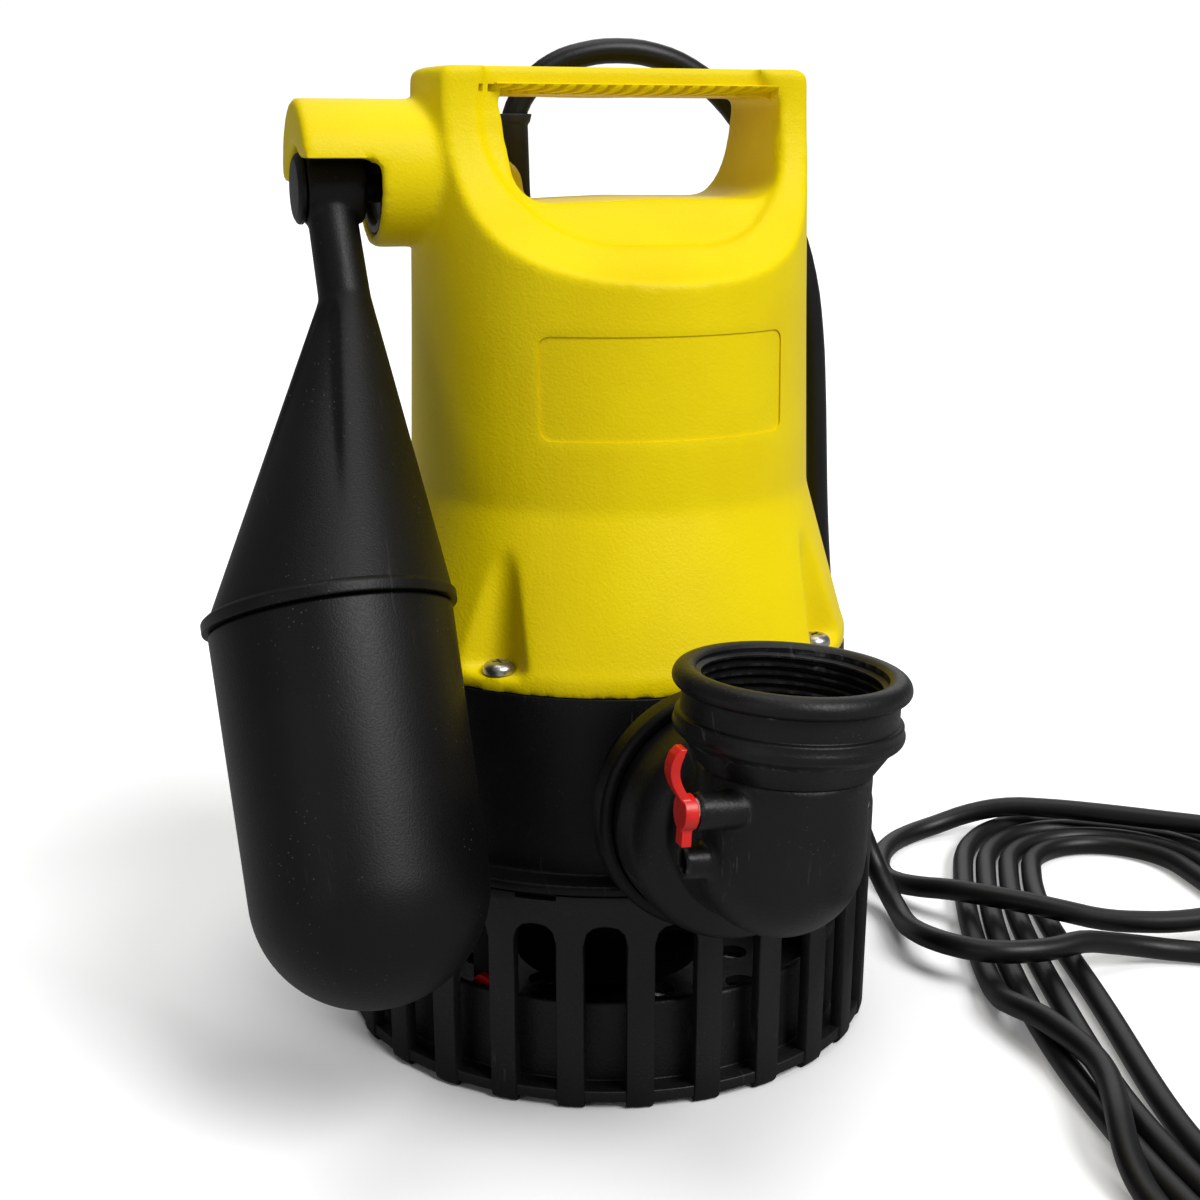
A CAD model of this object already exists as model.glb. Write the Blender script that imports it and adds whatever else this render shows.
import math

import bmesh
import bpy
from mathutils import Matrix, Vector


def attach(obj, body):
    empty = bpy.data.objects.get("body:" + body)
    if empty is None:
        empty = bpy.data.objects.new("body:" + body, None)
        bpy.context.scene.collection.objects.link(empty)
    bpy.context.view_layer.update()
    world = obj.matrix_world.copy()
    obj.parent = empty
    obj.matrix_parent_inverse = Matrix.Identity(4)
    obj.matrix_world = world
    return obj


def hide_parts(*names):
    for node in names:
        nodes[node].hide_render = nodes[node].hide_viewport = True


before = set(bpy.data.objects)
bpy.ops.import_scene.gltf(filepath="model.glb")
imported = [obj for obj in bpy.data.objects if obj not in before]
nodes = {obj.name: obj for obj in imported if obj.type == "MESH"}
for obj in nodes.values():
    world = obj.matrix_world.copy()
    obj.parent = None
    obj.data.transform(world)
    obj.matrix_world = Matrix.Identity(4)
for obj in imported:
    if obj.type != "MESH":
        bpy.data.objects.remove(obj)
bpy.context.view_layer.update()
mm = 0.001


def linked(name, data):
    obj = bpy.data.objects.new(name, data)
    bpy.context.scene.collection.objects.link(obj)
    return obj


# Camera

camera = {
    "place": (-0.1757, -0.5285, 0.2674),
    "look": (0.302, 0.923, -0.239),
    "lens": 54.94,
    "sensor": 36,
    "near": 0.01,
}


def makeCamera(spec):
    data = bpy.data.cameras.new("pumpCamera")
    data.lens = spec["lens"]
    data.sensor_width = spec["sensor"]
    data.clip_start = spec["near"]
    obj = linked("pumpCamera", data)
    obj.location = spec["place"]
    obj.rotation_euler = Vector(spec["look"]).to_track_quat("-Z", "Y").to_euler()
    bpy.context.scene.camera = obj


makeCamera(camera)
print("camera placed")


# Shader maths

class Signal:
    def __init__(self, tree, socket):
        self.tree = tree
        self.socket = socket

    def node(self, kind, settings=None, sockets=None, out=0):
        made = self.tree.nodes.new(kind)
        for name, value in (settings or {}).items():
            if name == "stops":
                steps = made.color_ramp.elements
                while len(steps) < len(value):
                    steps.new(0.5)
                for step, (place, colour) in zip(steps, value):
                    step.position = place
                    step.color = colour
            else:
                setattr(made, name, value)
        for name, value in (sockets or {}).items():
            if isinstance(value, Signal):
                self.tree.links.new(value.socket, made.inputs[name])
            else:
                made.inputs[name].default_value = value
        return Signal(self.tree, made.outputs[out])

    def maths(self, operation, *values):
        return self.node("ShaderNodeMath", {"operation": operation}, dict(enumerate(values)))

    def __add__(self, other):
        return self.maths("ADD", self, other)

    def __radd__(self, other):
        return self.maths("ADD", other, self)

    def __sub__(self, other):
        return self.maths("SUBTRACT", self, other)

    def __rsub__(self, other):
        return self.maths("SUBTRACT", other, self)

    def __mul__(self, other):
        return self.maths("MULTIPLY", self, other)

    def __rmul__(self, other):
        return self.maths("MULTIPLY", other, self)

    def highest(self, other):
        return self.maths("MAXIMUM", self, other)

    def eased(self, low, high):
        return self.node("ShaderNodeMapRange", {"interpolation_type": "SMOOTHSTEP"},
                         {"Value": self, "From Min": low, "From Max": high})

    def blend(self, first, second):
        # a colour mix: socket 0 is the factor, 6 and 7 the colours, and 2 the result
        return self.node("ShaderNodeMix", {"data_type": "RGBA"}, {0: self, 6: first, 7: second}, out=2)

    def stretched(self, scale, turn=(0, 0, 0)):
        return self.node("ShaderNodeMapping", {}, {"Vector": self, "Scale": scale, "Rotation": turn})

    def noise(self, scale, detail=2, roughness=0.5):
        return self.node("ShaderNodeTexNoise", {},
                         {"Vector": self, "Scale": scale, "Detail": detail, "Roughness": roughness})

    def spots(self, scale):
        return self.node("ShaderNodeTexVoronoi", {}, {"Vector": self, "Scale": scale})


def colour(rgb):
    return (*rgb, 1)


def makeFinish(name, fixed, build):
    material = bpy.data.materials.new(name)
    material.use_nodes = True
    tree = material.node_tree
    tree.nodes.clear()
    shader = tree.nodes.new("ShaderNodeBsdfPrincipled")
    output = tree.nodes.new("ShaderNodeOutputMaterial")
    tree.links.new(shader.outputs["BSDF"], output.inputs["Surface"])
    for socket, value in fixed.items():
        shader.inputs[socket].default_value = value
    place = Signal(tree, tree.nodes.new("ShaderNodeTexCoord").outputs["Object"])
    for socket, value in build(place).items():
        if socket == "Height":
            height, distance = value
            bump = place.node("ShaderNodeBump", {},
                              {"Height": height, "Distance": distance, "Strength": 1.0})
            tree.links.new(bump.socket, shader.inputs["Normal"])
        else:
            tree.links.new(value.socket, shader.inputs[socket])
    return material


def scratches(place, spec):
    lines = 0
    for turn in spec["scratchTurns"]:
        fine = place.stretched(spec["scratchStretch"], turn).noise(1, 3, 0.6)
        patch = place.noise(spec["scratchPatch"], 1).eased(0.52, 0.66)
        line = fine.eased(spec["scratchCut"], spec["scratchCut"] + 0.03) * patch
        lines = line if lines == 0 else line.highest(lines)
    return lines


def moulded(name, spec):
    def build(place):
        broad = place.noise(spec["broadScale"], 3, 0.55)
        grain = place.noise(spec["grainScale"], 2, 0.6)
        tone = broad.eased(0.3, 0.7)
        base = tone.blend(colour(spec["dark"]), colour(spec["light"]))
        rough = spec["rough"] + (broad - 0.5) * spec["roughSpread"] + (grain - 0.5) * spec["grainRough"]
        if spec.get("dust"):
            speck = 1 - place.spots(spec["dustScale"]).eased(0.05, 0.16)
            fleck = speck * place.noise(spec["dustPatch"], 2).eased(0.5, 0.62)
            base = (fleck * spec["dust"]).blend(base, colour(spec["dustColour"]))
            rough = rough + fleck * 0.2
        if spec.get("scuff"):
            marks = scratches(place, spec)
            base = (marks * spec["scuff"]).blend(base, colour(spec["scuffColour"]))
            rough = rough + marks * spec["scuffRough"]
        if spec.get("wear"):
            pointiness = place.node("ShaderNodeNewGeometry", out=7)
            edge = pointiness.eased(spec["wearFrom"], spec["wearTo"])
            worn = edge * place.noise(spec["wearScale"], 4, 0.7).eased(0.45, 0.7)
            base = (worn * spec["wear"]).blend(base, colour(spec["scuffColour"]))
            rough = rough + worn * 0.15
        height = grain * spec["grainHeight"] + broad * spec["broadHeight"]
        return {"Base Color": base, "Roughness": rough, "Height": (height, mm)}
    return makeFinish(name, spec.get("fixed", {}), build)


plainScratch = {
    "scratchTurns": ((0.2, 0.5, 0.1), (1.1, 0.2, 1.9)),
    "scratchStretch": (900, 35, 60),
    "scratchPatch": 45,
    "scratchCut": 0.66,
    "scuffRough": 0.1,
}

yellowPlastic = moulded("yellowPlastic", {
    "dark": (0.80, 0.61, 0.0005), "light": (0.86, 0.68, 0.0005),
    "rough": 0.46, "roughSpread": 0.1, "grainRough": 0.2,
    "broadScale": 22, "grainScale": 1150, "grainHeight": 0.13, "broadHeight": 0.12,
    "fixed": {"Specular IOR Level": 0.13},
})
blackPlastic = moulded("blackPlastic", plainScratch | {
    "dark": (0.0012, 0.0012, 0.0013), "light": (0.0028, 0.0028, 0.003),
    "rough": 0.46, "roughSpread": 0.16, "grainRough": 0.2,
    "broadScale": 30, "grainScale": 1200, "grainHeight": 0.1, "broadHeight": 0.1,
    "dust": 0.35, "dustScale": 900, "dustPatch": 60, "dustColour": (0.12, 0.12, 0.12),
    "scuff": 0.12, "scuffColour": (0.16, 0.16, 0.165),
    "fixed": {"Specular IOR Level": 0.22},
})
basketPlastic = moulded("basketPlastic", plainScratch | {
    "dark": (0.0035, 0.0035, 0.0035), "light": (0.006, 0.006, 0.006),
    "rough": 0.5, "roughSpread": 0.12, "grainRough": 0.24,
    "broadScale": 34, "grainScale": 1150, "grainHeight": 0.13, "broadHeight": 0.1,
    "dust": 0.4, "dustScale": 900, "dustPatch": 60, "dustColour": (0.12, 0.12, 0.12),
    "scuff": 0.12, "scuffColour": (0.16, 0.16, 0.165),
    "fixed": {"Specular IOR Level": 0.4},
})
wornPlastic = moulded("wornPlastic", plainScratch | {
    "dark": (0.0025, 0.0025, 0.0026), "light": (0.005, 0.005, 0.0052),
    "rough": 0.44, "roughSpread": 0.2, "grainRough": 0.2,
    "broadScale": 40, "grainScale": 1100, "grainHeight": 0.09, "broadHeight": 0.14,
    "dust": 0.4, "dustScale": 800, "dustPatch": 70, "dustColour": (0.13, 0.13, 0.13),
    "scuff": 0.16, "scuffColour": (0.2, 0.2, 0.205),
    "wear": 0.35, "wearFrom": 0.52, "wearTo": 0.6, "wearScale": 260,
    "fixed": {"Specular IOR Level": 0.3},
})
floatPlastic = moulded("floatPlastic", plainScratch | {
    "dark": (0.0022, 0.0022, 0.0023), "light": (0.0042, 0.0042, 0.0044),
    "rough": 0.46, "roughSpread": 0.08, "grainRough": 0.2,
    "broadScale": 26, "grainScale": 1700, "grainHeight": 0.07, "broadHeight": 0.1,
    "dust": 0.3, "dustScale": 500, "dustPatch": 40, "dustColour": (0.15, 0.15, 0.15),
    "scuff": 0.07, "scuffColour": (0.14, 0.14, 0.14),
    "fixed": {"Specular IOR Level": 0.22},
})
redPlastic = moulded("redPlastic", {
    "dark": (0.55, 0.008, 0.004), "light": (0.72, 0.012, 0.006),
    "rough": 0.38, "roughSpread": 0.1, "grainRough": 0.1,
    "broadScale": 120, "grainScale": 1500, "grainHeight": 0.03, "broadHeight": 0.05,
})
cordRubber = moulded("cordRubber", {
    "dark": (0.0028, 0.0028, 0.0031), "light": (0.0052, 0.0052, 0.0058),
    "rough": 0.42, "roughSpread": 0.12, "grainRough": 0.1,
    "broadScale": 35, "grainScale": 1800, "grainHeight": 0.05, "broadHeight": 0.05,
    "dust": 0.25, "dustScale": 700, "dustPatch": 50, "dustColour": (0.1, 0.1, 0.1),
    "fixed": {"Specular IOR Level": 0.32},
})
softRubber = moulded("softRubber", {
    "dark": (0.008, 0.008, 0.008), "light": (0.014, 0.014, 0.014),
    "rough": 0.62, "roughSpread": 0.1, "grainRough": 0.1,
    "broadScale": 60, "grainScale": 1500, "grainHeight": 0.05, "broadHeight": 0.03,
})
zincSteel = moulded("zincSteel", plainScratch | {
    "dark": (0.42, 0.42, 0.41), "light": (0.62, 0.61, 0.58),
    "rough": 0.34, "roughSpread": 0.2, "grainRough": 0.2,
    "broadScale": 300, "grainScale": 2600, "grainHeight": 0.03, "broadHeight": 0.03,
    "scuff": 0.3, "scuffColour": (0.3, 0.3, 0.3),
    "fixed": {"Metallic": 1.0},
})
coreSteel = moulded("coreSteel", {
    "dark": (0.16, 0.16, 0.17), "light": (0.3, 0.3, 0.31),
    "rough": 0.45, "roughSpread": 0.2, "grainRough": 0.1,
    "broadScale": 90, "grainScale": 1800, "grainHeight": 0.05, "broadHeight": 0.03,
    "fixed": {"Metallic": 0.9},
})
castAluminium = moulded("castAluminium", {
    "dark": (0.4, 0.4, 0.41), "light": (0.55, 0.55, 0.56),
    "rough": 0.5, "roughSpread": 0.1, "grainRough": 0.1,
    "broadScale": 80, "grainScale": 900, "grainHeight": 0.1, "broadHeight": 0.05,
    "fixed": {"Metallic": 0.9},
})
palePlastic = moulded("palePlastic", {
    "dark": (0.55, 0.53, 0.46), "light": (0.66, 0.64, 0.57),
    "rough": 0.5, "roughSpread": 0.1, "grainRough": 0.1,
    "broadScale": 60, "grainScale": 1200, "grainHeight": 0.03, "broadHeight": 0.03,
})


def buildWinding(place):
    strand = place.stretched((300, 300, 2600)).noise(1, 2)
    base = strand.eased(0.35, 0.65).blend(colour((0.2, 0.05, 0.015)), colour((0.52, 0.19, 0.06)))
    return {"Base Color": base, "Roughness": 0.3 + strand * 0.2, "Height": (strand, 0.4 * mm)}


copperWire = makeFinish("copperWire", {"Metallic": 0.8}, buildWinding)
print("finishes made")


# Mesh helpers

def tempObject(bm, name):
    mesh = bpy.data.meshes.new(name)
    bm.to_mesh(mesh)
    bm.free()
    return linked(name, mesh)


def settle(obj, material, body, replaced=(), angle=35):
    obj.data.materials.clear()
    obj.data.materials.append(material)
    obj.data.polygons.foreach_set("use_smooth", [True] * len(obj.data.polygons))
    obj.data.set_sharp_from_angle(angle=math.radians(angle))
    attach(obj, body)
    if replaced:
        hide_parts(*replaced)
    return obj


def dress(bm, name, material, body, replaced=(), angle=35):
    return settle(tempObject(bm, name), material, body, replaced, angle)


def nodeCopy(node):
    bm = bmesh.new()
    bm.from_mesh(nodes[node].data)
    bmesh.ops.remove_doubles(bm, verts=bm.verts, dist=0.002 * mm)
    return bm


def bake(obj):
    graph = bpy.context.evaluated_depsgraph_get()
    mesh = bpy.data.meshes.new_from_object(obj.evaluated_get(graph))
    old = obj.data
    obj.modifiers.clear()
    obj.data = mesh
    bpy.data.meshes.remove(old)
    return obj


def carve(obj, tools, operation="DIFFERENCE"):
    for tool in tools:
        step = obj.modifiers.new("cut", "BOOLEAN")
        step.operation = operation
        step.solver = "EXACT"
        step.object = tool
    bake(obj)
    for tool in tools:
        bpy.data.objects.remove(tool)
    return obj


def soften(obj, voxel, rounds, factor=0.5):
    step = obj.modifiers.new("remesh", "REMESH")
    step.mode = "VOXEL"
    step.voxel_size = voxel * mm
    step = obj.modifiers.new("smooth", "SMOOTH")
    step.factor = factor
    step.iterations = rounds
    return bake(obj)


def rounded(points, count=4):
    # each point is (r, z, fillet), and the loop is closed
    out = []
    for i, (r, z, fillet) in enumerate(points):
        here = Vector((r, z))
        if fillet == 0:
            out.append(here)
            continue
        before = Vector(points[i - 1][:2]) - here
        after = Vector(points[(i + 1) % len(points)][:2]) - here
        reach = min(fillet, before.length * 0.48, after.length * 0.48)
        start = here + before.normalized() * reach
        end = here + after.normalized() * reach
        for k in range(count + 1):
            t = k / count
            out.append(start * (1 - t) ** 2 + here * 2 * t * (1 - t) + end * t * t)
    return out


def arcPoints(centre, radius, start, end, count):
    turns = [math.radians(start + (end - start) * k / count) for k in range(count + 1)]
    return [(centre[0] + radius * math.cos(a), centre[1] + radius * math.sin(a)) for a in turns]


def lathe(profile, steps=128, closed=True):
    bm = bmesh.new()
    verts = [bm.verts.new((p[0] * mm, 0, p[1] * mm)) for p in profile]
    edges = [bm.edges.new(pair) for pair in zip(verts, verts[1:])]
    if closed:
        edges.append(bm.edges.new((verts[-1], verts[0])))
    bmesh.ops.spin(bm, geom=verts + edges, cent=(0, 0, 0), axis=(0, 0, 1), angle=2 * math.pi,
                   steps=steps, use_merge=True)
    bmesh.ops.remove_doubles(bm, verts=bm.verts, dist=0.001 * mm)
    bmesh.ops.recalc_face_normals(bm, faces=bm.faces)
    return bm


def plainRod(radius, start, end, steps=48):
    return lathe([(0, start), (radius, start), (radius, end), (0, end)], steps, closed=False)


def placed(bm, matrix):
    bmesh.ops.transform(bm, matrix=matrix, verts=bm.verts)
    return bm


def shift(x, y, z):
    return Matrix.Translation((x * mm, y * mm, z * mm))


def turn(degrees, axis):
    return Matrix.Rotation(math.radians(degrees), 4, axis)


def merged(*parts):
    whole = bmesh.new()
    for part in parts:
        mesh = bpy.data.meshes.new("part")
        part.to_mesh(mesh)
        part.free()
        whole.from_mesh(mesh)
        bpy.data.meshes.remove(mesh)
    return whole


alongX = turn(90, "Y")
alongFront = turn(90, "X")


# Cords

cord = {
    "diameter": 7.6,
    "route": [
        (-20.2, 34, 268), (-20.2, 34, 273), (-18.6, 34, 280), (-14, 33.5, 287), (-7, 33, 292.5),
        (2, 32, 295.7), (13, 31, 297), (25, 30, 295.7), (36.5, 30, 291.5), (47, 30, 284),
        (56.5, 30, 273), (65, 30, 259), (72.5, 30, 243.5), (78, 30, 227), (81, 30, 209),
        (82.5, 30, 190), (83.5, 30, 170), (84.5, 30, 150), (86.5, 31, 130), (89.5, 33, 110),
        (93, 35.5, 90), (97, 38.5, 71), (101.5, 40.5, 54), (106, 40.5, 39), (110, 38, 26),
        (113, 32.5, 15), (113.5, 23, 8.5), (112, 12, 6), (109, 0, 6.5), (106.5, -12, 9),
        (106, -24, 11.5), (109, -34.5, 13), (116, -42.5, 13.5), (126.5, -46.5, 13.5), (139, -46.5, 13),
        (151, -44, 12.5), (163, -42, 9.5), (175, -41.5, 6.5), (186.5, -44, 4.5), (197.5, -49.5, 4),
        (206.3, -57.8, 3.8), (211.6, -67.6, 3.8),
    ],
    "tail": [
        (262.2, -5, 4.8), (258.6, -16, 8.4), (252, -28, 11.5), (243, -37, 13), (231.5, -41.5, 13.2),
        (219, -42, 13), (206.5, -40.5, 12.5), (194, -37, 11), (182, -32.5, 10.5), (170.5, -26.5, 10.5),
        (159.5, -19, 12), (149.5, -10.5, 13), (140, -1, 13), (131.5, 10, 12), (125.5, 22.5, 9),
        (123, 36, 6), (125, 50, 4), (131, 63, 4), (140.5, 74, 4), (152, 81.5, 4),
        (166, 84.5, 5.5), (180, 82.5, 9.5), (193.5, 77, 12.5), (206.5, 70, 13), (219, 62, 13),
        (231, 53, 13), (243, 43.5, 13), (255, 34, 13), (267, 25, 12.5), (278.5, 15.5, 13.5),
        (286, 3.5, 16.5), (289, -10, 18), (289.5, -23, 18),
    ],
    "centre": (173, -82),
    "tilt": 17,
    "halfWidth": 35,
    "halfLength": 132,
    "endRadius": 22.5,
    "height": 3.8,
    "loops": 4,
    "firstRing": 2,
    "sideRings": 4,
    "endRings": 8,
    "sideSteps": 8,
    "endSteps": 4,
    "strandGap": 0.8,
    "curveSteps": 3,
    "roundSteps": 5,
    "climb": (12, 13.15, 13.15, 14.3),
    "climbAcross": -12.6,
    "climbLift": 7.8,
    "bows": {
        # loop: (from, to, sideways) for each bow
        0: [(12.2, 15.8, -6.5)],
        1: [(12.6, 15.6, -2.6)],
        2: [(0.2, 4.4, 1.6), (16.5, 21, 1.4)],
        3: [(0.2, 4.6, 4.2), (16.2, 21.5, 3.4), (5, 9.5, 1.8)],
    },
}


def smoothStep(value, low, high):
    t = min(1, max(0, (value - low) / (high - low)))
    return t * t * (3 - 2 * t)


def strandDrift(spec, loop, k):
    # how far a strand strays from its neat place, sideways and up
    across = sum(size * math.sin(math.pi * (k - start) / (end - start)) ** 2
                 for start, end, size in spec["bows"].get(loop, []) if start < k < end)
    lift = 0
    if loop == spec["loops"] - 1:
        rise, top, drop, foot = spec["climb"]
        t = min((k - rise) / (top - rise), (foot - k) / (foot - drop))
        lift = spec["climbLift"] * smoothStep(t, 0, 0.64)
        across += spec["climbAcross"] * smoothStep(t, 0.19, 1)
    return across, lift


def hankRings(spec):
    # an oval of four arcs that widens by one pitch a loop
    pitch = spec["diameter"] + spec["strandGap"]
    perLoop = 2 * (spec["sideRings"] + spec["endRings"])
    drop = spec["halfLength"] - spec["endRadius"]
    gap = spec["halfWidth"] - spec["endRadius"]
    sideRadius = (drop ** 2 + gap ** 2) / (2 * gap) + spec["endRadius"]
    side = math.degrees(math.atan2(drop, sideRadius - spec["halfWidth"]))
    end = 180 - 2 * side
    sideCentre = sideRadius - spec["halfWidth"]
    tilt = math.radians(spec["tilt"])
    rings = []
    places = []
    for i in range(spec["firstRing"], perLoop * spec["loops"]):
        k = i % perLoop
        onSide = k < spec["sideRings"] or 0 <= k - perLoop / 2 < spec["sideRings"]
        steps = spec["sideSteps"] if onSide else spec["endSteps"]
        places += [i + n / steps for n in range(steps)]
    for i in places + [perLoop * spec["loops"]]:
        k = i % perLoop
        across, lift = strandDrift(spec, i // perLoop, k)
        grown = pitch * i / perLoop + across
        if k < spec["sideRings"]:
            centre, r = (-sideCentre, 0), sideRadius
            a = side - 2 * side * k / spec["sideRings"]
        elif k < perLoop / 2:
            centre, r = (0, -drop), spec["endRadius"]
            a = -side - end * (k - spec["sideRings"]) / spec["endRings"]
        elif k < perLoop / 2 + spec["sideRings"]:
            centre, r = (sideCentre, 0), sideRadius
            a = -180 + side - 2 * side * (k - perLoop / 2) / spec["sideRings"]
        else:
            centre, r = (0, drop), spec["endRadius"]
            a = -180 - side - end * (k - perLoop / 2 - spec["sideRings"]) / spec["endRings"]
        x = centre[0] + (r + grown) * math.cos(math.radians(a))
        y = centre[1] + (r + grown) * math.sin(math.radians(a))
        rings.append(Vector((
            spec["centre"][0] + x * math.cos(tilt) + y * math.sin(tilt),
            spec["centre"][1] - x * math.sin(tilt) + y * math.cos(tilt),
            spec["height"] + lift,
        )))
    return rings


def cordPoints(spec):
    rings = hankRings(spec)
    inward = (rings[0] - rings[1]).normalized() * spec["diameter"]
    outward = (rings[-1] - rings[-2]).normalized() * spec["diameter"]
    lead = [Vector(p) for p in spec["route"]] + [rings[0] + inward * 2, rings[0] + inward]
    tail = [rings[-1] + outward, rings[-1] + outward * 2] + [Vector(p) for p in spec["tail"]]
    return lead + rings + tail


def makeCord(spec):
    points = [p * mm for p in cordPoints(spec)]
    curve = bpy.data.curves.new("mainsLead", "CURVE")
    curve.dimensions = "3D"
    curve.bevel_depth = spec["diameter"] / 2 * mm
    curve.bevel_resolution = spec["roundSteps"]
    curve.resolution_u = spec["curveSteps"]
    curve.use_fill_caps = True
    spline = curve.splines.new("BEZIER")
    spline.bezier_points.add(len(points) - 1)
    for knot, point in zip(spline.bezier_points, points):
        knot.co = point
        knot.handle_left_type = knot.handle_right_type = "AUTO"
    obj = linked("mainsLead", curve)
    curve.materials.append(cordRubber)
    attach(obj, "pump")
    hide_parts("mains_cord", "cord_hank", "cord_tail")
    length = sum((b - a).length for a, b in zip(points, points[1:]))
    print("lead length", round(length, 3))
    return obj, length


lead, leadLength = makeCord(cord)

plug = {
    "at": (289.5, -23, 18),
    "radius": 17.5,
    "neck": 6.5,
    "neckTip": 4.8,
    "neckLength": 22,
    "neckGrooves": 4,
    "groovePitch": 4,
    "bodyEnd": 47,
    "pinRadius": 2.4,
    "pinEnd": 66,
    "pinGap": 19,
}


def makePlug(spec):
    n, tip, radius, end = spec["neckLength"], spec["neckTip"], spec["radius"], spec["bodyEnd"]
    grooves = []
    for k in range(spec["neckGrooves"]):
        z = spec["groovePitch"] * (k + 1)
        r = tip + (spec["neck"] - tip) * z / n
        grooves += [(r, z, 0.3), (r - 0.8, z + 0.4, 0.3), (r - 0.8, z + 1.4, 0.3), (r + 0.2, z + 1.8, 0.3)]
    outline = [(0, 0, 0), (tip, 0, 0.4)] + grooves + [
        (spec["neck"] + 2, n, 2), (radius - 2, n + 3, 2.5), (radius, n + 6, 2),
        (radius, end - 2, 0), (radius - 0.8, end, 0.5), (0, end, 0)]
    body = lathe(rounded(outline), 64, closed=False)
    place = shift(*spec["at"]) @ alongFront
    shell = dress(placed(body, place), "mainsPlug", cordRubber, "pump", ["mains_plug"])
    pin, pinEnd = spec["pinRadius"], spec["pinEnd"]
    outline = [(0, end - 1), (pin, end - 1), (pin, pinEnd - 1.2), (pin - 1, pinEnd), (0, pinEnd)]
    pins = merged(*[placed(lathe(outline, 32, closed=False), place @ shift(side * spec["pinGap"] / 2, 0, 0))
                    for side in (-1, 1)])
    return shell, dress(pins, "plugPins", zincSteel, "pump")


plugBody, plugPins = makePlug(plug)
print("lead made")


# Motor cover

cover = {
    "voxel": 1.25,
    "rounds": 7,
    "triangles": 186000,
    "labelHalf": 36,
    "labelLow": 189.3,
    "labelHigh": 218,
    "labelCorner": 3,
    "labelOut": -80,
    "labelReach": 60,
    "labelFloor": [(59.65, 169.5), (58.55, 224), (58.35, 230)],
    "cavityTop": 228,
    "cavityRadius": 72,
    "ceilingReach": 16,
    "chamber": (-56.5, -40),
    "chamberHalf": 9.6,
    "chamberTop": 272.5,
}

grip = {
    "teeth": 19,
    "from": -44.8,
    "to": 43.3,
    "barFrom": -37.6,
    "barTo": 45.6,
    "front": 19.5,
    "reach": 6.4,
    "level": 285.2,
    "roomLow": 279.2,
    "padRise": 0.5,
    "endLow": 283.7,
    "middleLow": 282.3,
    "grooveWidth": 1.9,
    "grooveLength": 9,
    "grooveDeep": -6,
    "grooveShort": -2.2,
    "grooveTop": -0.12,
    "slant": 42,
    "padPast": 1.5,
    "padSteps": 24,
}


def labelCutter(spec):
    # a plate bent to the wall, with the panel's outline
    bm = bmesh.new()
    half, low, high, corner = spec["labelHalf"], spec["labelLow"], spec["labelHigh"], spec["labelCorner"]
    outline = []
    for centre, start in (((half - corner, low + corner), -90), ((half - corner, high - corner), 0),
                          ((-half + corner, high - corner), 90), ((-half + corner, low + corner), 180)):
        outline += arcPoints(centre, corner, start, start + 90, 6)
    verts = [bm.verts.new((x * mm, spec["labelOut"] * mm, z * mm)) for x, z in outline]
    face = bm.faces.new(verts)
    out = bmesh.ops.extrude_face_region(bm, geom=[face])
    moved = [v for v in out["geom"] if isinstance(v, bmesh.types.BMVert)]
    bmesh.ops.translate(bm, verts=moved, vec=(0, spec["labelReach"] * mm, 0))
    bmesh.ops.recalc_face_normals(bm, faces=bm.faces)
    plate = tempObject(bm, "labelPlate")
    wall = spec["labelFloor"]
    outline = [(0, wall[0][1])] + wall + [(0, wall[-1][1])]
    core = tempObject(lathe(outline, 256, closed=False), "labelCore")
    return carve(plate, [core])


def block(low, high):
    bm = bmesh.new()
    bmesh.ops.create_cube(bm, size=1)
    low, high = Vector(low) * mm, Vector(high) * mm
    bmesh.ops.scale(bm, verts=bm.verts, vec=high - low)
    bmesh.ops.translate(bm, verts=bm.verts, vec=(low + high) / 2)
    return bm


def gripPad(spec):
    # a rounded pad that sags in the middle, for the bar's lower edge
    start, end = spec["barFrom"] - spec["padPast"], spec["barTo"] + spec["padPast"]
    count = spec["padSteps"]
    stations = [start + (end - start) * k / count for k in range(count + 1)]
    bm = placed(lathe([(0, start)] + [(1, x) for x in stations] + [(0, end)], 40, closed=False), alongX)
    for vert in bm.verts:
        x, y, z = (c / mm for c in vert.co)
        t = min(1, max(0, (x - spec["barFrom"]) / (spec["barTo"] - spec["barFrom"])))
        low = spec["endLow"] + (spec["middleLow"] - spec["endLow"]) * math.sin(math.pi * t)
        height = spec["level"] - low if z < 0 else spec["padRise"]
        vert.co = Vector((x, spec["reach"] * (y + 1) - spec["front"], spec["level"] + z * height)) * mm
    return bm


def gripGrooves(spec):
    pitch = (spec["to"] - spec["from"]) / spec["teeth"]
    half = spec["grooveWidth"] / 2
    tools = []
    for k in range(spec["teeth"]):
        x = spec["from"] + pitch * (k + 0.5)
        low = spec["grooveDeep"] if x > spec["barFrom"] else spec["grooveShort"]
        bar = block((-half, -1, low), (half, spec["grooveLength"], spec["grooveTop"]))
        tools.append(placed(bar, shift(x, -spec["front"], spec["level"]) @ turn(spec["slant"], "Z")))
    return merged(*tools)


def makeGrip(obj, spec):
    for side in (0, 180):
        place = turn(side, "Z")
        room = block((spec["barFrom"], -spec["front"] - 1.5, spec["roomLow"]),
                     (spec["barTo"], -spec["front"] + spec["reach"], spec["level"]))
        carve(obj, [tempObject(placed(room, place), "gripRoom")])
        carve(obj, [tempObject(placed(gripPad(spec), place), "gripPad")], "UNION")
        carve(obj, [tempObject(placed(gripGrooves(spec), place), "gripGrooves")])


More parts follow.
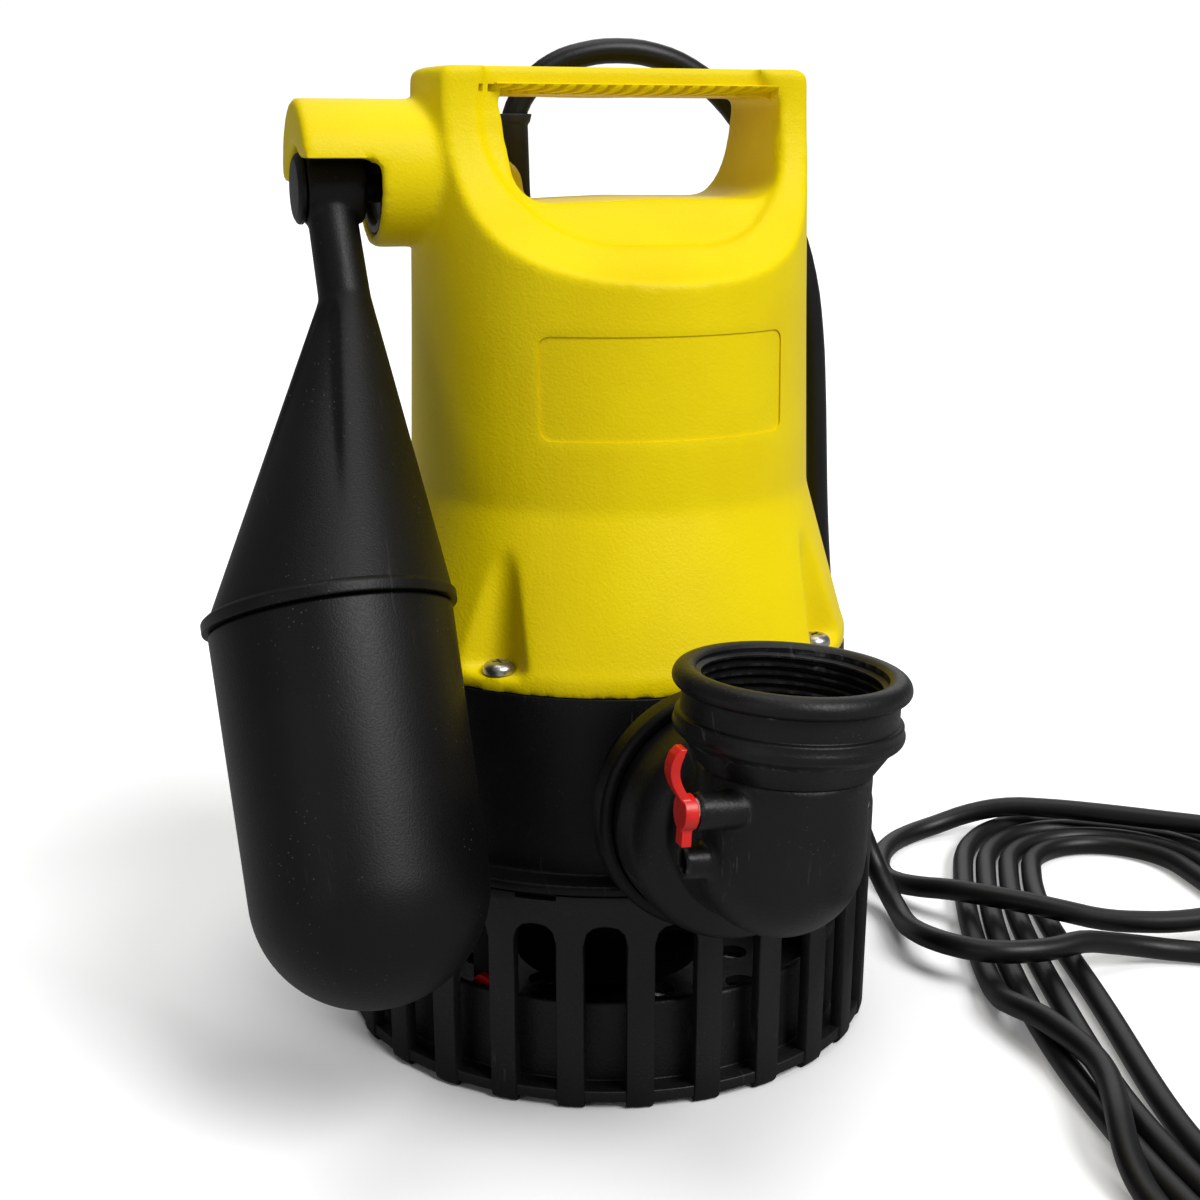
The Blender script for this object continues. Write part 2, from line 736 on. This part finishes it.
def innerWall(vert, spec):
    # the walls that only the motor faces
    x, y, z = (c / mm for c in vert.co)
    flat = Vector((vert.co.x, vert.co.y, 0))
    facesIn = flat.length > 0 and vert.normal.dot(flat.normalized()) < -0.2
    ceiling = vert.normal.z < -0.5 and z > spec["cavityTop"] - 1
    inSkirt = z < spec["cavityTop"] + spec["ceilingReach"] and (facesIn or ceiling)
    low, high = spec["chamber"]
    inChamber = low < x < high and abs(y) < spec["chamberHalf"] and z < spec["chamberTop"]
    return (inSkirt and flat.length < spec["cavityRadius"] * mm) or inChamber


def thinned(obj, spec, isHidden):
    obj.data.update()
    group = obj.vertex_groups.new(name="hidden")
    hidden = [v.index for v in obj.data.vertices if isHidden(v, spec)]
    group.add(hidden, 1.0, "REPLACE")
    triangles = sum(len(p.vertices) - 2 for p in obj.data.polygons)
    if triangles > spec["triangles"]:
        step = obj.modifiers.new("thin", "DECIMATE")
        step.ratio = spec["triangles"] / triangles
        step.vertex_group = "hidden"
        bake(obj)
    obj.vertex_groups.clear()
    print(obj.name, "triangles", sum(len(p.vertices) - 2 for p in obj.data.polygons))
    return obj


def makeCover(spec):
    obj = tempObject(nodeCopy("motor_cover"), "motorCover")
    soften(obj, spec["voxel"], spec["rounds"])
    carve(obj, [labelCutter(spec)])
    makeGrip(obj, grip)
    thinned(obj, spec, innerWall)
    return settle(obj, yellowPlastic, "pump", ["motor_cover"], 40)


makeCover(cover)
print("cover made")


# Strainer

strainer = {
    "ribs": 26,
    "firstRib": 1.9,
    "ribWidth": 8.1,
    "radius": 83.2,
    "flare": 1,
    "height": 66,
    "wall": 3.9,
    "slotTop": 57,
    "slotRound": 5,
    "footRound": 3,
    "footInset": 2.2,
    "lowRows": (0, 0.5, 1.4, 3, 12, 24, 40),
    "highRows": (60, 63),
    "edge": 0.55,
    "floorLift": 2.5,
    "floorThick": 2.5,
    "rimThick": 3.4,
    "drainRings": ((12, 44), (6, 22)),
    "drainRadius": 5,
    "standRadius": 60,
    "standThick": 3.2,
    "footRise": 1.7,
    "sumpRadius": 74.4,
    "sumpTop": 29.5,
    "sumpThick": 2.6,
    "notchAt": -32.4,
    "notchWidth": 12,
    "notchDeep": 1.5,
    "notchIn": 1.6,
}


def strainerWall(spec):
    # one grid wrapped round, with the gaps taken out and their tops rounded
    period = 2 * math.pi * (spec["radius"] + spec["flare"]) / spec["ribs"]
    half, corner, top = spec["ribWidth"] / 2, spec["slotRound"], spec["slotTop"]
    bends = (0, math.pi / 6, math.pi / 3, math.pi / 2)
    left = [half + corner * (1 - math.cos(a)) for a in bends]
    columns = [0] + left + [period / 2] + [period - c for c in reversed(left)]
    rises = [corner * math.sin(a) for a in bends]
    rows = [*spec["lowRows"], *[top - corner + r for r in rises], *spec["highRows"], spec["height"]]
    wide, tall = len(columns) * spec["ribs"], len(rows) - 1
    first = rows.index(top - corner)
    bm = bmesh.new()
    bmesh.ops.create_grid(bm, x_segments=wide, y_segments=tall, size=1)
    grid = {}
    for vert in bm.verts:
        grid[round((vert.co.x + 1) / 2 * wide), round((vert.co.y + 1) / 2 * tall)] = vert
    gone, cuts = [], []
    for face in bm.faces:
        middle = face.calc_center_median()
        c = int((middle.x + 1) / 2 * wide)
        j = int((middle.y + 1) / 2 * tall)
        i = c % len(columns)
        side = min(i, len(columns) - 1 - i)
        if side < 1 or rows[j] >= top:
            continue
        if j >= first and side <= 3:
            if j - first == side - 1:
                cuts.append((face, c, j, i < len(columns) / 2))
            elif j - first < side - 1:
                gone.append(face)
        else:
            gone.append(face)
    for face, c, j, isLeft in cuts:
        ends = (grid[c, j], grid[c + 1, j + 1]) if isLeft else (grid[c + 1, j], grid[c, j + 1])
        spare = grid[c + 1, j] if isLeft else grid[c, j]
        bmesh.ops.connect_verts(bm, verts=ends)
        gone += [f for f in spare.link_faces if set(ends) <= set(f.verts)]
    bmesh.ops.delete(bm, geom=gone, context="FACES")
    for (c, j), vert in grid.items():
        if not vert.is_valid:
            continue
        u = columns[c % len(columns)] / period + c // len(columns)
        angle = u * 2 * math.pi / spec["ribs"] + math.radians(spec["firstRib"])
        z = rows[j]
        foot = spec["footRound"]
        inset = foot - math.sqrt(max(0, foot ** 2 - (foot - z) ** 2)) if z < foot else 0
        r = spec["radius"] + spec["flare"] * z / spec["height"] - min(inset, spec["footInset"])
        vert.co = Vector((r * math.sin(angle), -r * math.cos(angle), z)) * mm
    bmesh.ops.remove_doubles(bm, verts=bm.verts, dist=0.01 * mm)
    bmesh.ops.recalc_face_normals(bm, faces=bm.faces)
    sample = next(f for f in bm.faces if f.calc_center_median().z > 60 * mm)
    if sample.normal.dot(sample.calc_center_median() * Vector((1, 1, 0))) < 0:
        bmesh.ops.reverse_faces(bm, faces=bm.faces)
    return bm


def makeStrainer(spec):
    wall = tempObject(strainerWall(spec), "strainerWall")
    step = wall.modifiers.new("wall", "SOLIDIFY")
    step.thickness = spec["wall"] * mm
    step.offset = -1
    step.use_even_offset = True
    step = wall.modifiers.new("edge", "BEVEL")
    step.width = spec["edge"] * mm
    step.segments = 2
    step.limit_method = "ANGLE"
    step.angle_limit = math.radians(50)
    step.use_clamp_overlap = False
    bake(wall)
    r, half, top = spec["radius"], spec["notchWidth"] / 2, spec["height"]
    notch = block((-half, -r - 3, top - spec["notchDeep"]), (half, -r + spec["notchIn"], top + 1))
    carve(wall, [tempObject(placed(notch, turn(spec["notchAt"], "Z")), "pryNotch")])
    inner = spec["radius"] - spec["wall"]
    low = spec["floorLift"]
    high, ring = low + spec["floorThick"], low + spec["rimThick"]
    stand, outer = spec["standRadius"], spec["radius"] - 0.6
    sump, top = spec["sumpRadius"], spec["sumpTop"]
    halfStand, sumpInner = spec["standThick"] / 2, sump - spec["sumpThick"]
    base = lathe(rounded([
        (0, low, 0), (stand - halfStand, low, 0.3), (stand - halfStand, 0, 0.5),
        (stand + halfStand, 0, 0.5), (stand + halfStand, low, 0.3),
        (outer, low, 0.4), (outer, ring, 0.5), (inner - 0.4, ring, 0.5), (inner - 0.4, high, 0.5),
        (sump, high, 0.5), (sump, top, 2.2), (sumpInner, top, 0.6), (sumpInner, high, 0.5),
        (0, high, 0)]), 12 * spec["ribs"], closed=False)
    for vert in base.verts:
        # the ring's lower edge dips into each rib's foot
        flat = math.hypot(vert.co.x, vert.co.y) / mm
        if flat > inner and vert.co.z < (low + 1) * mm:
            around = math.atan2(vert.co.x, -vert.co.y) - math.radians(spec["firstRib"])
            vert.co.z -= spec["footRise"] * max(0, math.cos(spec["ribs"] * around)) ** 2 * mm
    floor = tempObject(base, "strainerFloor")
    holes = []
    for count, radius in spec["drainRings"]:
        for k in range(count):
            drain = plainRod(spec["drainRadius"], -1, high + 1, 32)
            holes.append(placed(drain, turn(360 * k / count, "Z") @ shift(radius, 0, 0)))
    carve(floor, [tempObject(merged(*holes), "drainHoles")])
    basket = bmesh.new()
    for part in (wall, floor):
        basket.from_mesh(part.data)
        bpy.data.objects.remove(part)
    return dress(basket, "strainerBasket", basketPlastic, "pump", ["strainer_basket"], 40)


makeStrainer(strainer)
print("strainer made")


# Housing

housing = {
    "stub": 26,
    "bore": 17.5,
    "outletZ": 94,
    "stubFrom": 62,
    "stubEnd": 94,
    "waterRadius": 70,
    "outline": [
        (75.5, 60, 0.5), (80, 60, 1), (80, 66.3, 0), (84.2, 66.3, 0.4), (84.2, 68.9, 1.1), (76.8, 69.6, 1.2),
        (76.4, 71.5, 2), (73.8, 112, 4), (73.5, 120, 0.4), (49, 120, 0.4), (49, 84, 1), (12, 84, 0.5),
        (12, 80, 0.5), (15, 80, 0), (15, 66.6, 0.4), (20, 66.6, 0.4), (20, 80, 2), (52.5, 80, 2),
        (52.5, 114, 2), (70, 114, 2), (70, 66.6, 0.5), (75.5, 66.6, 0),
    ],
}


def makeHousing(spec):
    shell = tempObject(lathe(rounded(spec["outline"]), 192), "pumpHousing")
    toFront = shift(0, 0, spec["outletZ"]) @ alongFront
    start, end = spec["stubFrom"], spec["stubEnd"]
    stub = tempObject(placed(plainRod(spec["stub"], start, end, 96), toFront), "stub")
    core = tempObject(plainRod(spec["waterRadius"], 60, 130, 96), "core")
    carve(stub, [core])
    bore = tempObject(placed(plainRod(spec["bore"], start - 7, end + 2, 96), toFront), "bore")
    carve(shell, [stub], "UNION")
    carve(shell, [bore])
    return settle(shell, blackPlastic, "pump", ["pump_housing"], 35)


makeHousing(housing)
print("housing made")


# Discharge elbow, collar and lever

outlet = {
    "z": 94,
    "turn": 3.4,
    "barrelY": 134,
    "mouth": 144.5,
    "collar": 120,
    "minor": 22.4,
    "major": 23.75,
    "pitch": 2.309,
    "threadLow": 125.5,
    "threadTurns": 6.8,
    "throat": 20.65,
    "bead": 29.5,
    "ring": 30.5,
    "union": 88.3,
    "leverY": 146,
    "leverZ": 113.3,
}
toOutlet = shift(0, 0, outlet["z"]) @ turn(outlet["turn"], "Y") @ shift(0, 0, -outlet["z"])
toBarrel = toOutlet @ shift(0, -outlet["barrelY"], 0)
toLever = toOutlet @ shift(0, -outlet["leverY"], outlet["leverZ"])


elbow = {"voxel": 0.75, "rounds": 5}


def makeElbow(spec):
    obj = tempObject(nodeCopy("discharge_elbow"), "dischargeElbow")
    soften(obj, spec["voxel"], spec["rounds"])
    return settle(obj, wornPlastic, "pump", ["discharge_elbow"], 50)


def makeCollar(spec):
    mouth, collar, bead, throat = spec["mouth"], spec["collar"], spec["bead"], spec["throat"]
    outline = rounded([(throat, collar, 0.2), (21.8, collar, 0.4), (26.2, collar + 6.8, 1.5)])
    outline += arcPoints((bead - 3.2, collar + 9.8), 2.4, -65, 35, 8)
    outline += rounded([(bead - 1.2, collar + 11.4, 0), (bead - 1.3, collar + 12.8, 0.5),
                        (bead - 2.5, collar + 13.2, 0.3), (bead - 2.6, collar + 18.7, 0.4),
                        (bead - 1.9, collar + 19.1, 0)])[1:-1]
    outline += [(bead - 3.3 + 3.3 * math.cos(a), mouth - 3.3 + 2.4 * math.sin(a))
                for a in [math.radians(12 * k) for k in range(-5, 0)]]
    outline += [(bead - 3.3 + 3.3 * math.cos(a), mouth - 3.3 + 3.3 * math.sin(a))
                for a in [math.radians(138 * k / 16) for k in range(17)]]
    outline += rounded([(spec["major"], mouth - 2.0, 0.3), (spec["major"], spec["threadLow"], 0.4),
                        (throat, spec["threadLow"], 0.3)])
    obj = tempObject(placed(lathe(outline, 160), toBarrel), "dischargeCollar")
    ridge = bmesh.new()
    crest, root, low = spec["minor"], spec["major"] + 0.3, spec["threadLow"] + 0.6
    corners = [(root, low), (root, low + 2.0), (crest, low + 1.25), (crest, low + 0.75)]
    verts = [ridge.verts.new((r * mm, 0, z * mm)) for r, z in corners]
    face = ridge.faces.new(verts)
    perTurn, turns = 72, spec["threadTurns"]
    bmesh.ops.spin(ridge, geom=[face], cent=(0, 0, 0), axis=(0, 0, 1), angle=2 * math.pi * turns,
                   steps=int(perTurn * turns), dvec=(0, 0, spec["pitch"] * mm / perTurn))
    bmesh.ops.recalc_face_normals(ridge, faces=ridge.faces)
    thread = tempObject(placed(ridge, toBarrel), "thread")
    carve(obj, [thread], "UNION")
    return settle(obj, wornPlastic, "pump", ["discharge_collar"], 42)


def makeUnionRing(spec):
    y, r = spec["union"], spec["ring"]
    bm = lathe(rounded([(r + 0.3, y, 0.2), (r + 3.5, y, 0.8), (r + 3.5, y + 6.6, 1.2),
                        (r + 2.2, y + 7.9, 0.6), (r + 0.3, y + 7.9, 0.3)]), 128)
    place = toOutlet @ shift(0, 0, spec["z"]) @ alongFront
    return dress(placed(bm, place), "unionRing", blackPlastic, "pump", ["union_ring"])


makeElbow(elbow)
makeCollar(outlet)
makeUnionRing(outlet)
print("elbow made")

lever = {"voxel": 0.22, "rounds": 4, "bendFrom": 3, "reach": 16.2, "bow": 3.4, "bowTurn": 2.6, "curve": 2.6}


def makeLever(spec):
    obj = tempObject(placed(nodeCopy("vent_lever"), toLever.inverted()), "ventLever")
    soften(obj, spec["voxel"], spec["rounds"])
    for vert in obj.data.vertices:
        t = (vert.co.z / mm - spec["bendFrom"]) / (spec["reach"] - spec["bendFrom"])
        if t > 0:
            # the tongue bows out for a finger and comes back at its tip
            out, back = math.sin(math.pi / 2 * t), math.sin(spec["bowTurn"] * t)
            vert.co.x += (spec["curve"] * out - spec["bow"] * back) * mm
    obj.data.transform(toLever)
    return settle(obj, redPlastic, "lever", ["vent_lever"], 50)


makeLever(lever)
print("lever made")


# Float

floater = {
    "pivot": (-83.7, 0, 256.6),
    "lean": 25.7,
    "tilt": 1.9,
    "across": -16.7,
    "seam": 123.5,
    "shell": 32.8,
    "dome": 31.6,
    "roundAt": 195.5,
    "wall": 2,
    "rim": 34.3,
    "coneTop": 33,
    "neck": 7.6,
    "crease": (-3.9, 37, -0.155),
    "creaseDepth": 2.3,
    "creaseFrom": 35,
    "creaseTo": 104,
    "voxel": 0.8,
    "rounds": 4,
    "easeRounds": 5,
}
toArm = shift(*floater["pivot"]) @ turn(-floater["lean"], "X") @ turn(-floater["tilt"], "Y")


def pressWeb(obj, spec):
    # the cone's left half steps back from the tube that runs down its front
    for vert in obj.data.vertices:
        x, y, z = (c / mm for c in vert.co)
        down = -z
        t = (down - spec["coneTop"]) / (spec["seam"] - spec["coneTop"])
        centre, radius = spec["across"] * t, spec["neck"] + (spec["rim"] - spec["neck"]) * t
        if y > 0 or not 0 < t < 1 or math.hypot(x - centre, y) < 0.72 * radius:
            continue
        startX, startS, slope = spec["crease"]
        crease = startX + slope * (down - startS)
        left = centre - radius
        fade = smoothStep(down, spec["creaseFrom"], spec["creaseFrom"] + 6)
        fade *= 1 - smoothStep(down, 60, spec["creaseTo"])
        across = smoothStep(crease - x, -0.3, 1.6) * smoothStep(x - left, 0.4, 2.2)
        vert.co.y += spec["creaseDepth"] * fade * across * mm


def makeFloat(spec):
    cone = tempObject(placed(nodeCopy("float_arm"), toArm.inverted()), "floatArm")
    soften(cone, spec["voxel"], spec["rounds"])
    pressWeb(cone, spec)
    step = cone.modifiers.new("ease", "SMOOTH")
    step.factor = 0.5
    step.iterations = spec["easeRounds"]
    bake(cone)
    rim, seam = spec["rim"], -spec["seam"]
    band = lathe(rounded([
        (31.2, seam, 0.2), (rim - 0.1, seam, 0.3), (rim, seam + 0.4, 0.3), (rim, seam + 2.9, 0.5),
        (rim - 1.6, seam + 4.1, 0.4), (31.4, seam + 4.1, 0.2)]), 160)
    carve(cone, [tempObject(placed(band, shift(spec["across"], 0, 0)), "rimBand")], "UNION")
    cone.data.transform(toArm)
    settle(cone, floatPlastic, "float", ["float_arm"], 50)
    depth = spec["roundAt"] - spec["seam"]
    outer = arcPoints((0, depth), spec["dome"], 0, 90, 24)
    inner = arcPoints((0, depth), spec["dome"] - spec["wall"], 90, 0, 24)
    r = spec["shell"]
    outline = [(r - spec["wall"], 0.3)] + rounded([(r - 0.6, 0.3, 0), (r, 0.9, 0.4), (r, 3, 0)])[:-1]
    bm = lathe(outline + outer[:-1] + [(0, outer[-1][1]), (0, inner[0][1])] + inner[1:], 160)
    place = toArm @ shift(spec["across"], 0, -spec["seam"]) @ turn(180, "X")
    dress(placed(bm, place), "floatShell", floatPlastic, "float", ["float_shell"])


makeFloat(floater)

axle = {"z": 256.6, "radius": 4, "head": 9.9, "out": -93.5, "thick": 2.2, "inEnd": -58.1,
        "insert": 16.6, "insertZ": 260.7, "insertOut": -71.2, "insertIn": -64.4}


def makeAxle(spec):
    head, radius, out, end = spec["head"], spec["radius"], spec["out"], spec["inEnd"]
    inner = out + spec["thick"]
    outline = rounded([(0, out, 0), (head - 1.6, out, 0.4), (head, out + 0.9, 0.6), (head, inner, 0.2),
                       (radius, inner, 0), (radius, end, 0.4), (0, end, 0)])
    pin = placed(lathe(outline, 96, closed=False), shift(0, 0, spec["z"]) @ alongX)
    r, face, back = spec["insert"], spec["insertOut"], spec["insertIn"]
    dish = rounded([(0, face + 2.2, 0), (r - 3, face + 2.2, 0.8), (r - 2.2, face, 0.5), (r, face, 0.6),
                    (r, back, 0), (0, back, 0)])
    insert = placed(lathe(dish, 96, closed=False), shift(0, 0, spec["insertZ"]) @ alongX)
    dress(merged(pin, insert), "floatAxle", blackPlastic, "pump", ["float_axle"])


makeAxle(axle)
print("float made")


# Screws and gland

screws = {"at": 48.4, "z": 124.5, "head": 4.75, "headHeight": 3.2, "shank": 2.4, "length": 20.5,
          "recess": 2.2, "slot": 0.9, "deep": 1.9, "spin": 20, "spinStep": 37}


def makeScrews(spec):
    h, r, shank, end = spec["headHeight"], spec["head"], spec["shank"], -spec["length"]
    outline = rounded([(0, end, 0), (shank - 0.5, end, 0.3), (shank, end + 1, 0.3), (shank, 0, 0),
                       (r, 0, 0.15), (r, h * 0.55, 0.9), (r - 1.5, h, 1.2), (0, h, 0)])
    half = (spec["recess"], spec["slot"] / 2, spec["deep"])
    heads, slots = [], []
    for k in range(4):
        place = turn(90 * k, "Z") @ shift(spec["at"], spec["at"], spec["z"])
        heads.append(placed(lathe(outline, 48, closed=False), place))
        for cross in (0, 90):
            spin = spec["spin"] + spec["spinStep"] * k + cross
            bar = block([-c for c in half], half)
            slots.append(placed(bar, place @ shift(0, 0, h) @ turn(spin, "Z")))
    obj = tempObject(merged(*heads), "coverScrews")
    carve(obj, [tempObject(merged(*slots[::2]), "slotA")])
    carve(obj, [tempObject(merged(*slots[1::2]), "slotB")])
    return settle(obj, zincSteel, "pump", ["cover_screws"], 35)


makeScrews(screws)

relief = {"at": (-20.2, 34, 248), "base": 5.7, "tip": 4.7, "height": 30, "bore": 3.85,
          "bendFrom": 273, "bendSpan": 7, "bendRight": 1.6, "bendFront": 0.5}


def makeRelief(spec):
    b, t, h = spec["base"], spec["tip"], spec["height"]
    outline = [(spec["bore"], 0, 0), (b + 0.5, 0, 0.3), (b + 0.5, 2, 0.3), (b, 2.6, 0.2), (b - 0.3, 8, 0.5),
               (t + 0.1, h - 3.2, 0.4), (t + 0.6, h - 2.4, 0.3), (t + 0.6, h, 0.5), (spec["bore"], h, 0)]
    bm = placed(lathe(rounded(outline), 64), shift(*spec["at"]))
    for vert in bm.verts:
        # the boot's tip follows the lead's bend
        t = max(0, vert.co.z / mm - spec["bendFrom"]) / spec["bendSpan"]
        vert.co.x += spec["bendRight"] * t * t * mm
        vert.co.y -= spec["bendFront"] * t * mm
    dress(bm, "strainRelief", softRubber, "pump", ["strain_relief"])


makeRelief(relief)
print("fittings made")


# Finishes of the other nodes

nodeFinish = {
    "pressure_casing": blackPlastic, "pressure_plate": blackPlastic, "impeller": blackPlastic,
    "casing_plug": redPlastic, "float_switch": redPlastic,
    "casing_screws": zincSteel, "motor_can": zincSteel,
    "lower_bearing": zincSteel, "upper_bearing": zincSteel, "impeller_nut": zincSteel,
    "switch_magnet": zincSteel, "lever_shaft": zincSteel, "motor_shaft": zincSteel,
    "stator_core": coreSteel, "rotor_core": coreSteel,
    "lower_end_shield": castAluminium, "upper_end_shield": castAluminium, "stator_windings": copperWire,
    "housing_seal": softRubber, "elbow_seal": softRubber, "gland_seal": softRubber, "flap_seat": softRubber,
    "check_flap": softRubber, "cable_gland": softRubber, "inner_lead": cordRubber,
    "seal_seat": palePlastic, "seal_ring": palePlastic, "terminal_plate": palePlastic,
    "run_capacitor": palePlastic, "lever_bush": palePlastic,
}
for name, material in nodeFinish.items():
    data = nodes[name].data
    data.materials.clear()
    data.materials.append(material)
print("nodes finished")


# Floor and light

studio = {
    "floorSize": 40,
    "floorColour": (0.95, 0.95, 0.95),
    "floorBounce": (0.2, 0.2, 0.2),
    "floorRough": 0.9,
    "floorShine": 0.1,
    "floorGlow": 0.22,
    "glowRing": (0.085, 0.16),
    "world": 0.17,
    "backdrop": 1.05,
    "suns": [
        # name, direction it comes from, width in degrees, strength
        ("keySun", (0.62, -1.3, 1.4), 28, 2.75),
        ("topSun", (0.1, 0.3, 1.8), 40, 0.9),
        ("sideSun", (-1.5, -1.1, 0.6), 24, 0.2),
        ("backSun", (0.7, 1.4, 0.9), 45, 0.45),
    ],
}


def makeStudio(spec):
    bm = bmesh.new()
    bmesh.ops.create_grid(bm, x_segments=1, y_segments=1, size=spec["floorSize"] / 2)
    floor = tempObject(bm, "studioFloor")
    material = bpy.data.materials.new("floorPaint")
    material.use_nodes = True
    tree = material.node_tree
    shader = tree.nodes["Principled BSDF"]
    shader.inputs["Roughness"].default_value = spec["floorRough"]
    shader.inputs["Specular IOR Level"].default_value = spec["floorShine"]
    place = Signal(tree, tree.nodes.new("ShaderNodeTexCoord").outputs["Object"])
    away = place.node("ShaderNodeVectorMath", {"operation": "LENGTH"}, {0: place}, out=1)
    glow = away.eased(*spec["glowRing"]).blend(colour((0, 0, 0)), colour((1, 1, 1)))
    tree.links.new(glow.socket, shader.inputs["Emission Color"])
    shader.inputs["Emission Strength"].default_value = spec["floorGlow"]
    seen = Signal(tree, tree.nodes.new("ShaderNodeLightPath").outputs["Is Camera Ray"])
    paint = seen.blend(colour(spec["floorBounce"]), colour(spec["floorColour"]))
    tree.links.new(paint.socket, shader.inputs["Base Color"])
    floor.data.materials.append(material)
    world = bpy.data.worlds.new("studioWorld")
    world.use_nodes = True
    tree = world.node_tree
    seen = Signal(tree, tree.nodes.new("ShaderNodeLightPath").outputs["Is Camera Ray"])
    strength = seen * (spec["backdrop"] - spec["world"]) + spec["world"]
    tree.links.new(strength.socket, tree.nodes["Background"].inputs["Strength"])
    tree.nodes["Background"].inputs["Color"].default_value = (1, 1, 1, 1)
    bpy.context.scene.world = world
    for name, source, width, strength in spec["suns"]:
        data = bpy.data.lights.new(name, "SUN")
        data.angle = math.radians(width)
        data.energy = strength
        lamp = linked(name, data)
        lamp.rotation_euler = Vector(source).to_track_quat("Z", "Y").to_euler()
    bpy.context.scene.view_settings.view_transform = "Standard"


makeStudio(studio)
print("studio made")
